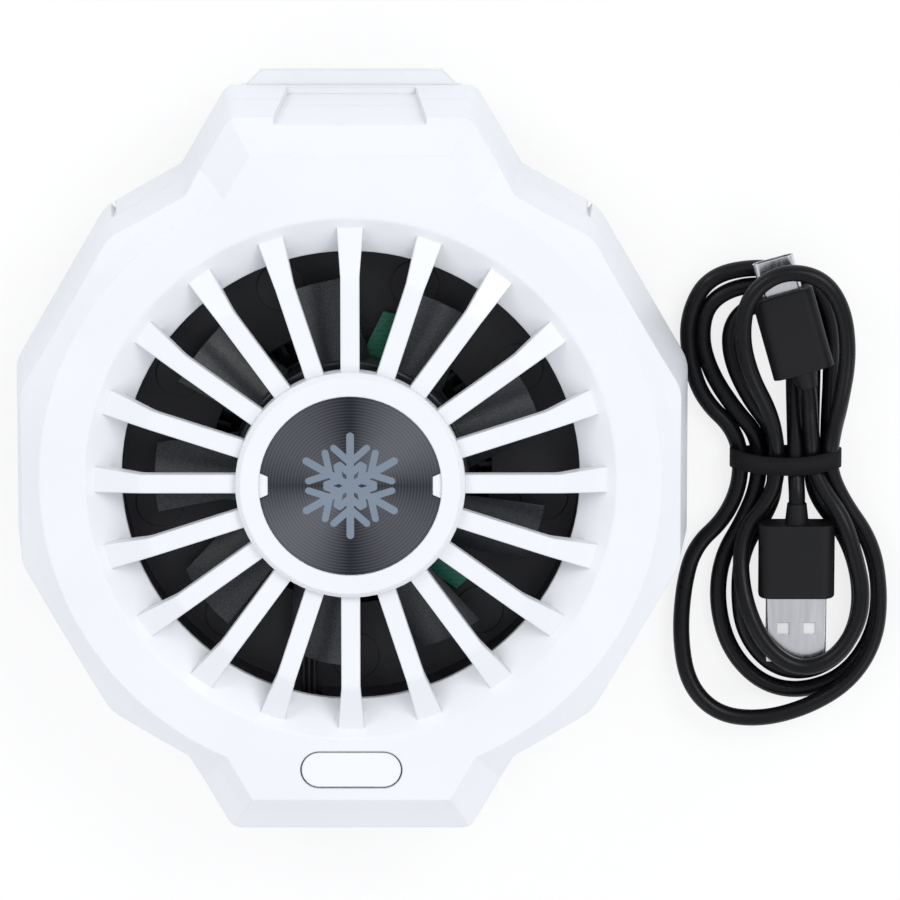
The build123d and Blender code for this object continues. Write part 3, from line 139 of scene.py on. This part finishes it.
def moulded(name, colour, rough, grain=2600.0, depth=0.00004, vary=0.04, edge=0.0003, specular=0.5):
    """Moulded plastic or rubber: fine grain, slight clouding, rounded edges."""
    material, tree, shader = new_material(name)
    cloud = noise(tree, CLOUD_SCALE, CLOUD_DETAIL)
    darker = tuple(c * (1 - vary) for c in colour)
    lighter = tuple(min(1.0, c * (1 + vary)) for c in colour)
    tree.links.new(ramp(tree, cloud, SHADE_LOW, SHADE_HIGH, darker, lighter), shader.inputs["Base Color"])
    fine = noise(tree, grain, GRAIN_DETAIL)
    tree.links.new(spread(tree, fine, rough - 0.05, rough + 0.05), shader.inputs["Roughness"])
    bump(tree, shader, fine, depth, 0.35, edge)
    shader.inputs["Specular IOR Level"].default_value = specular
    return material


def metal(name, colour, rough, grain=900.0, stretch=(1, 1, 1), depth=0.00001, vary=0.08, edge=0.00015):
    """Metal with fine directional scratches and rounded edges."""
    material, tree, shader = new_material(name)
    brushed = noise(tree, grain, 3.0, stretch=stretch)
    darker = tuple(c * (1 - vary) for c in colour)
    tree.links.new(ramp(tree, brushed, SHADE_LOW, SHADE_HIGH, darker, colour), shader.inputs["Base Color"])
    tree.links.new(spread(tree, brushed, rough - 0.06, rough + 0.08), shader.inputs["Roughness"])
    shader.inputs["Metallic"].default_value = 1.0
    bump(tree, shader, brushed, depth, 0.4, edge)
    return material


def ring_height(tree, pitch):
    """Turning grooves round the Z axis, one every pitch metres."""
    coords = tree.nodes.new("ShaderNodeTexCoord")
    rings = tree.nodes.new("ShaderNodeTexWave")
    rings.wave_type = "RINGS"
    rings.rings_direction = "Z"
    rings.wave_profile = "SIN"
    rings.inputs["Scale"].default_value = WAVE_UNIT / pitch
    rings.inputs["Distortion"].default_value = 0.0
    tree.links.new(coords.outputs["Object"], rings.inputs["Vector"])
    return rings.outputs["Fac"]


def calc(tree, operation, first, second=None):
    """A maths node on one or two values, each a socket or a number."""
    node = tree.nodes.new("ShaderNodeMath")
    node.operation = operation
    for socket, value in zip(node.inputs, (first, second)):
        if isinstance(value, (int, float)):
            socket.default_value = value
        elif value is not None:
            tree.links.new(value, socket)
    return node.outputs["Value"]


GROOVE_PITCH, GROOVE_DEPTH = 0.62 * MM, 0.03 * MM
# The bright colour is painted highlight. The shares weigh the painted bright sectors, their lean and the
# painted lighter sides against the real turning grooves.
DISC_DARK, DISC_HIGHLIGHT = (0.028, 0.031, 0.038), (0.185, 0.187, 0.205)
SECTOR_HIGHLIGHT_SHARE, LEAN_HIGHLIGHT_SHARE, SIDE_HIGHLIGHT_SHARE, GROOVE_SHARE = 0.62, 0.12, 0.14, 0.22


def anodised_disc_painted_sheen():
    """Dark anodised aluminium, turned in fine rings, with painted highlights in its colour: bright diagonal
    sectors, one diagonal pair brighter than the other, and lighter east and west sides.
    """
    material, tree, shader = new_material("turned_dark_aluminium")
    grooves = ring_height(tree, GROOVE_PITCH)
    coords = tree.nodes.new("ShaderNodeTexCoord")
    axes = tree.nodes.new("ShaderNodeSeparateXYZ")
    tree.links.new(coords.outputs["Object"], axes.inputs["Vector"])
    angle = calc(tree, "ARCTAN2", axes.outputs["Y"], axes.outputs["X"])
    # Painted highlight by angle: the lamps' reflections in the turned surface, painted into the base colour
    # as sectors, a lean and lighter sides.
    twice = calc(tree, "MULTIPLY", angle, 2.0)
    highlight_lobes = calc(tree, "SINE", twice)
    side_highlight = calc(tree, "MAXIMUM", calc(tree, "COSINE", twice), 0.0)
    sheen_and_grooves = calc(tree, "MULTIPLY", calc(tree, "ABSOLUTE", highlight_lobes), SECTOR_HIGHLIGHT_SHARE)
    for part, share in ((highlight_lobes, LEAN_HIGHLIGHT_SHARE), (side_highlight, SIDE_HIGHLIGHT_SHARE), (grooves, GROOVE_SHARE)):
        sheen_and_grooves = calc(tree, "ADD", sheen_and_grooves, calc(tree, "MULTIPLY", part, share))
    tree.links.new(ramp(tree, sheen_and_grooves, 0.1, 1.05, DISC_DARK, DISC_HIGHLIGHT), shader.inputs["Base Color"])
    shader.inputs["Metallic"].default_value = 0.95
    shader.inputs["Roughness"].default_value = 0.32
    bump(tree, shader, grooves, GROOVE_DEPTH, 0.5)
    return material


def circuit_board():
    """Green solder mask over faint copper tracks."""
    material, tree, shader = new_material("circuit_board_green")
    coords = tree.nodes.new("ShaderNodeTexCoord")
    tracks = tree.nodes.new("ShaderNodeTexBrick")
    tracks.inputs["Scale"].default_value = 260.0
    tracks.inputs["Mortar Size"].default_value = 0.05
    tracks.inputs["Color1"].default_value = (0.008, 0.105, 0.062, 1)
    tracks.inputs["Color2"].default_value = (0.009, 0.12, 0.07, 1)
    tracks.inputs["Mortar"].default_value = (0.014, 0.15, 0.09, 1)
    tree.links.new(coords.outputs["Object"], tracks.inputs["Vector"])
    tree.links.new(tracks.outputs["Color"], shader.inputs["Base Color"])
    shader.inputs["Roughness"].default_value = 0.3
    bump(tree, shader, tracks.outputs["Fac"], 0.02 * MM, 0.5)
    return material


def smoky_plastic():
    """Smoky grey plastic with a fine speck grain: the specks are glossier, and their lighter colour is a
    painted glint.
    """
    material, tree, shader = new_material("smoky_speckled_plastic")
    speck_grain_and_glints = noise(tree, 3600.0, 5.0, 0.75)
    # Painted glint: the specks' lighter colour stands in for sparkle; their lower roughness and bump are
    # real.
    tree.links.new(
        ramp(tree, speck_grain_and_glints, 0.42, 0.7, (0.008, 0.009, 0.011), (0.06, 0.063, 0.07)), shader.inputs["Base Color"]
    )
    tree.links.new(spread(tree, speck_grain_and_glints, 0.42, 0.26), shader.inputs["Roughness"])
    shader.inputs["Specular IOR Level"].default_value = 0.45
    bump(tree, shader, speck_grain_and_glints, 0.05 * MM, 0.4, 0.2 * MM)
    return material


def coiled(name, colour, pitch):
    """Wire wound along Y, with painted shade darkening the grooves between the turns."""
    material, tree, shader = new_material(name)
    coords = tree.nodes.new("ShaderNodeTexCoord")
    wave = tree.nodes.new("ShaderNodeTexWave")
    wave.wave_type = "BANDS"
    wave.bands_direction = "Y"
    wave.inputs["Scale"].default_value = WAVE_UNIT / pitch
    tree.links.new(coords.outputs["Object"], wave.inputs["Vector"])
    # Painted shade: the colour falls to 30% in the grooves between the turns.
    darker = tuple(c * 0.3 for c in colour)
    tree.links.new(ramp(tree, wave.outputs["Fac"], 0.1, 0.6, darker, colour), shader.inputs["Base Color"])
    shader.inputs["Metallic"].default_value = 0.9
    shader.inputs["Roughness"].default_value = 0.35
    bump(tree, shader, wave.outputs["Fac"], pitch / 2, 0.9)
    return material


materials = {
    "white_plastic": moulded(
        "white_plastic", (0.79, 0.8, 0.82), 0.4, vary=0.012, edge=0.0005, specular=0.45
    ),
    "button_plastic": moulded("button_plastic", (0.82, 0.83, 0.85), 0.36, vary=0.01, edge=0.0003),
    "dark_anodised": anodised_disc_painted_sheen(),
    "ice_print": moulded("ice_print", (0.17, 0.215, 0.27), 0.45, vary=0.06, edge=0.0001),
    "smoke_plastic": smoky_plastic(),
    "black_plastic": moulded("black_plastic", (0.013, 0.013, 0.015), 0.46, depth=0.00006, specular=0.35),
    "board_green": circuit_board(),
    "steel": metal("steel", (0.55, 0.56, 0.58), 0.32),
    "nickel": metal("nickel", (0.72, 0.72, 0.73), 0.22, stretch=(1, 0.1, 1)),
    "bronze": metal("bronze", (0.5, 0.3, 0.13), 0.42, grain=1500.0),
    "copper_wire": coiled("copper_wire", (0.65, 0.25, 0.1), 0.3 * MM),
    "core_steel": metal("core_steel", (0.22, 0.23, 0.25), 0.45, stretch=(1, 1, 12)),
    "ferrite": moulded("ferrite", (0.035, 0.035, 0.04), 0.5, grain=1200.0),
    "bare_aluminium": metal("bare_aluminium", (0.72, 0.73, 0.75), 0.34, stretch=(1, 1, 8)),
    "black_aluminium": metal("black_aluminium", (0.035, 0.037, 0.042), 0.42, stretch=(1, 1, 8)),
    "ceramic": moulded("ceramic", (0.78, 0.78, 0.74), 0.5, grain=1600.0),
    "foam": moulded("foam", (0.05, 0.05, 0.052), 0.85, grain=900.0, depth=0.0003),
    "pad_grey": moulded("pad_grey", (0.11, 0.13, 0.16), 0.6, grain=700.0, depth=0.00012),
    "grip_rubber": moulded("grip_rubber", (0.022, 0.022, 0.024), 0.7, grain=1400.0, depth=0.0001),
    "chip_black": moulded("chip_black", (0.02, 0.02, 0.023), 0.5, edge=0.0001),
    "cord_black": moulded(
        "cord_black", (0.004, 0.004, 0.005), 0.32, grain=1800.0, depth=0.00003, edge=0, specular=0.2
    ),
    "plug_black": moulded(
        "plug_black", (0.007, 0.007, 0.008), 0.5, grain=2200.0, depth=0.00008, edge=0.0004, specular=0.22
    ),
    "tie_black": moulded("tie_black", (0.008, 0.008, 0.009), 0.7, grain=1500.0, depth=0.0001, specular=0.15),
    "plug_white": moulded("plug_white", (0.75, 0.75, 0.74), 0.4, edge=0.0001),
    "wire_sheath": moulded("wire_sheath", (0.016, 0.016, 0.018), 0.4, edge=0),
}
slots = {entry["node"]: entry["material_slot"] for entry in frame["record"]["subparts"]}
for name, node in frame["nodes"].items():
    node.data.materials.clear()
    node.data.materials.append(materials[slots[name]])

# The clamp's two return springs, wound along Y, in millimetres
SPRING_X, SPRING_Z, SPRING_R, SPRING_WIRE = 19.0, 18.0, 1.55, 0.25
SPRING_START, SPRING_END, SPRING_TURNS = 29.7, 45.3, 14
COIL_STEPS, WIRE_SIDES = 18, 6


def coil_mesh(name, side):
    """One spring on its side of the fan: a round wire on a helix, closed at both ends."""
    verts, faces = [], []
    run = SPRING_END - SPRING_START - 2 * SPRING_WIRE
    stations = SPRING_TURNS * COIL_STEPS
    for k in range(stations + 1):
        turn = 2 * math.pi * k / COIL_STEPS
        middle_y = SPRING_START + SPRING_WIRE + run * k / stations
        for j in range(WIRE_SIDES):
            around = 2 * math.pi * j / WIRE_SIDES
            radius = SPRING_R + SPRING_WIRE * math.cos(around)
            place = (
                side * SPRING_X + radius * math.cos(turn),
                middle_y + SPRING_WIRE * math.sin(around),
                SPRING_Z + radius * math.sin(turn),
            )
            verts.append(Vector(place) * MM)
    for k in range(stations):
        here, there = k * WIRE_SIDES, (k + 1) * WIRE_SIDES
        for j in range(WIRE_SIDES):
            beside = (j + 1) % WIRE_SIDES
            faces.append((here + j, here + beside, there + beside, there + j))
    faces.append(tuple(range(WIRE_SIDES)))
    faces.append(tuple(reversed(range(stations * WIRE_SIDES, (stations + 1) * WIRE_SIDES))))
    mesh = bpy.data.meshes.new(name)
    mesh.from_pydata(verts, [], faces)
    mesh.update()
    return mesh


def smooth_piece(name, mesh, slot):
    """An object of the mesh in its slot's material, shaded smooth."""
    mesh.materials.append(materials[slot])
    for polygon in mesh.polygons:
        polygon.use_smooth = True
    piece = bpy.data.objects.new(name, mesh)
    scene.collection.objects.link(piece)
    return piece


for name, side in (("clamp_spring_left", -1), ("clamp_spring_right", 1)):
    coil = smooth_piece(name + "_coil", coil_mesh(name + "_coil", side), "nickel")
    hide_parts(name)
    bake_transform(coil)

# The tied lead beside the fan: control points in millimetres from the hank's middle
HANK = Vector((86.6, -4.2, 0))
CORD_DIAMETER, CORD_LENGTH = 3.3 * MM, 0.832
ROUTE = [
    (2.2, -8.4, 8.2), (2.2, -6.4, 8.2), (2.0, -2.4, 6.2), (1.8, 6.0, 5.4),
    (1.5, 17.8, 2.8), (1.8, 24.5, 2.6), (-1.5, 30.4, 2.6), (-7.6, 31.0, 2.6),
    (-11.4, 26.5, 2.6), (-11.0, 19.6, 2.6), (-7.2, 11.6, 2.5), (-2.2, 5.2, 2.3),
    (-1.8, -5.5, 2.3), (-3.2, -11.0, 2.5), (-8.2, -18.5, 2.6), (-9.2, -27.0, 2.6),
    (-8.2, -36.0, 2.6), (-3.0, -43.0, 2.6), (4.4, -44.8, 2.6), (11.6, -41.0, 2.6),
    (15.2, -33.4, 2.6), (15.2, -24.6, 2.6), (12.2, -15.8, 2.6), (6.2, -8.4, 2.4),
    (5.2, -2.0, 2.3), (5.2, 6.0, 2.3), (5.3, 18.0, 2.6), (5.4, 26.4, 2.6),
    (1.2, 33.8, 2.6), (-8.0, 35.4, 2.6), (-15.6, 31.8, 2.8), (-17.2, 24.4, 2.7),
    (-15.0, 17.0, 2.6), (-10.2, 9.6, 2.4), (-5.2, 4.0, 2.3), (-5.2, -5.5, 2.3),
    (-8.2, -13.0, 2.5), (-12.6, -20.5, 2.6), (-13.6, -30.0, 2.6), (-11.0, -39.8, 2.6),
    (-4.6, -46.8, 2.6), (3.6, -48.6, 2.6), (12.6, -45.2, 2.6), (18.4, -36.5, 2.6),
    (19.4, -26.0, 2.6), (16.6, -15.8, 2.6), (10.6, -8.4, 2.4), (8.6, -1.5, 2.3),
    (8.6, 6.0, 2.3), (9.1, 18.0, 2.6), (8.8, 28.0, 2.6), (4.6, 37.0, 2.6),
    (-6.0, 39.0, 3.0), (-15.8, 36.8, 3.2), (-19.8, 28.8, 3.1), (-19.4, 20.0, 2.8),
    (-16.6, 11.6, 2.6), (-9.6, 5.0, 2.4), (-8.6, -4.5, 2.3), (-11.8, -12.6, 2.6),
    (-18.0, -18.4, 2.6), (-20.2, -26.5, 2.7), (-20.9, -37.0, 4.0), (-19.2, -46.4, 5.6),
    (-13.4, -52.4, 6.2), (-4.4, -53.4, 6.4), (5.4, -50.6, 6.4), (13.6, -45.2, 6.4),
    (18.4, -37.0, 6.2), (19.2, -27.0, 6.0), (17.4, -16.8, 6.0), (11.2, -8.0, 5.8),
    (8.6, -1.5, 5.6), (9.2, 5.2, 6.8), (10.6, 13.0, 12.0), (12.0, 23.0, 13.8),
    (10.8, 32.6, 14.0), (6.4, 38.8, 14.0), (-1.6, 40.0, 14.0), (-8.2, 35.0, 14.0),
    (-9.4, 26.5, 13.8), (-7.4, 18.4, 12.8), (-3.4, 10.4, 9.6), (-1.8, 3.0, 6.2),
    (-1.8, -4.6, 5.6), (-4.2, -9.4, 6.0), (-8.2, -14.0, 6.9), (-9.2, -21.5, 8.6),
    (-7.6, -30.0, 11.4), (-3.6, -37.6, 12.4), (3.0, -41.8, 12.4), (9.8, -39.6, 12.4),
    (14.4, -32.8, 12.2), (15.4, -25.8, 11.8), (13.8, -18.4, 11.4), (11.4, -11.0, 10.6),
    (7.2, -5.4, 8.0), (5.2, -0.5, 5.8), (5.2, 4.0, 6.6), (4.6, 9.6, 8.6),
    (4.5, 13.2, 8.8), (4.2, 15.4, 8.8),
]
cord_data = bpy.data.curves.new("cord", "CURVE")
cord_data.dimensions = "3D"
cord_data.bevel_depth = CORD_DIAMETER / 2
cord_data.bevel_resolution = 8
cord_data.use_fill_caps = True
spline = cord_data.splines.new("NURBS")
spline.points.add(len(ROUTE) - 1)
for point, place in zip(spline.points, ROUTE):
    point.co = (*((HANK + Vector(place)) * MM), 1)
spline.order_u = 3
spline.use_endpoint_u = True
spline.resolution_u = 10
cord = bpy.data.objects.new("cord", cord_data)
scene.collection.objects.link(cord)
cord_data.materials.append(materials["cord_black"])
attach(cord, "case")
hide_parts("cable_hank")

# The strap round the hank: a flat band that sags in the middle
BAND_HALF, BAND_TOP, BAND_WALL, BAND_WIDTH, BAND_SAG = 11.2, 8.9, 0.8, 3.6, 1.5
WIDE_POWER, HIGH_POWER, SAG_LEVEL = 0.55, 0.7, 0.6
STATIONS = 72


def strap_mesh():
    """A closed band round the bundle, its section a rounded rectangle."""
    verts, faces = [], []
    for k in range(STATIONS):
        turn = 2 * math.pi * k / STATIONS
        wide, high = math.cos(turn), math.sin(turn)
        wide = math.copysign(abs(wide) ** WIDE_POWER, wide)
        high = math.copysign(abs(high) ** HIGH_POWER, high)
        sag = BAND_SAG * (wide * wide - SAG_LEVEL) * (high + 1) / 2
        for wall in (0, BAND_WALL):
            x = (BAND_HALF - wall) * wide
            z = BAND_TOP / 2 + (BAND_TOP / 2 - wall) * high
            for end in (-1, 1):
                y = sag + end * BAND_WIDTH / 2
                verts.append((HANK + Vector((x, y, z))) * MM)
    for k in range(STATIONS):
        here, there = 4 * k, 4 * ((k + 1) % STATIONS)
        for one, two in ((0, 1), (1, 3), (3, 2), (2, 0)):
            faces.append((here + one, here + two, there + two, there + one))
    mesh = bpy.data.meshes.new("strap")
    mesh.from_pydata(verts, [], faces)
    mesh.update()
    return mesh


strap = smooth_piece("strap", strap_mesh(), "tie_black")
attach(strap, "case")
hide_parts("cable_tie")

# Floor, world and lamps, in metres and watts. The camera sees the floor mostly as a white glow.
FLOOR_HALF, FLOOR_GLOW_SHARE = 4, 0.8
FLOOR_COLOUR, WORLD_COLOUR, WORLD_STRENGTH = (0.93, 0.935, 0.94, 1), (0.92, 0.94, 1.0, 1), 0.73
floor_data = bpy.data.meshes.new("floor")
corners = [(FLOOR_HALF * x, FLOOR_HALF * y, 0) for x, y in ((-1, -1), (1, -1), (1, 1), (-1, 1))]
floor_data.from_pydata(corners, [], [(0, 1, 2, 3)])
floor = bpy.data.objects.new("floor", floor_data)
scene.collection.objects.link(floor)
floor_material, tree, shader = new_material("floor")
shader.inputs["Base Color"].default_value = FLOOR_COLOUR
shader.inputs["Roughness"].default_value = 0.9
shader.inputs["Specular IOR Level"].default_value = 0.1
glow = tree.nodes.new("ShaderNodeEmission")
glow.inputs["Color"].default_value = (1, 1, 1, 1)
path = tree.nodes.new("ShaderNodeLightPath")
mix = tree.nodes.new("ShaderNodeMixShader")
glow_share = calc(tree, "MULTIPLY", path.outputs["Is Camera Ray"], FLOOR_GLOW_SHARE)
tree.links.new(glow_share, mix.inputs["Fac"])
tree.links.new(shader.outputs["BSDF"], mix.inputs[1])
tree.links.new(glow.outputs["Emission"], mix.inputs[2])
tree.links.new(mix.outputs["Shader"], tree.nodes["Material Output"].inputs["Surface"])
floor_data.materials.append(floor_material)

world = bpy.data.worlds.new("world")
world.use_nodes = True
scene.world = world
background = world.node_tree.nodes["Background"]
background.inputs["Color"].default_value = WORLD_COLOUR
background.inputs["Strength"].default_value = WORLD_STRENGTH


def lamp(name, place, size, watts):
    """A square area lamp that faces the origin."""
    data = bpy.data.lights.new(name, "AREA")
    data.size = size
    data.energy = watts
    light = bpy.data.objects.new(name, data)
    light.location = place
    light.rotation_euler = (-Vector(place)).to_track_quat("-Z", "Y").to_euler()
    scene.collection.objects.link(light)


lamp("key", (0.8, 0.8, 1.35), 0.8, 9.5)
lamp("north_west", (-0.85, 0.85, 1.0), 0.6, 4.5)
lamp("fill", (-0.9, -0.9, 1.2), 1.0, 3)
lamp("south_east", (0.8, -0.8, 1.1), 0.7, 3)

scene.view_settings.view_transform = "Standard"
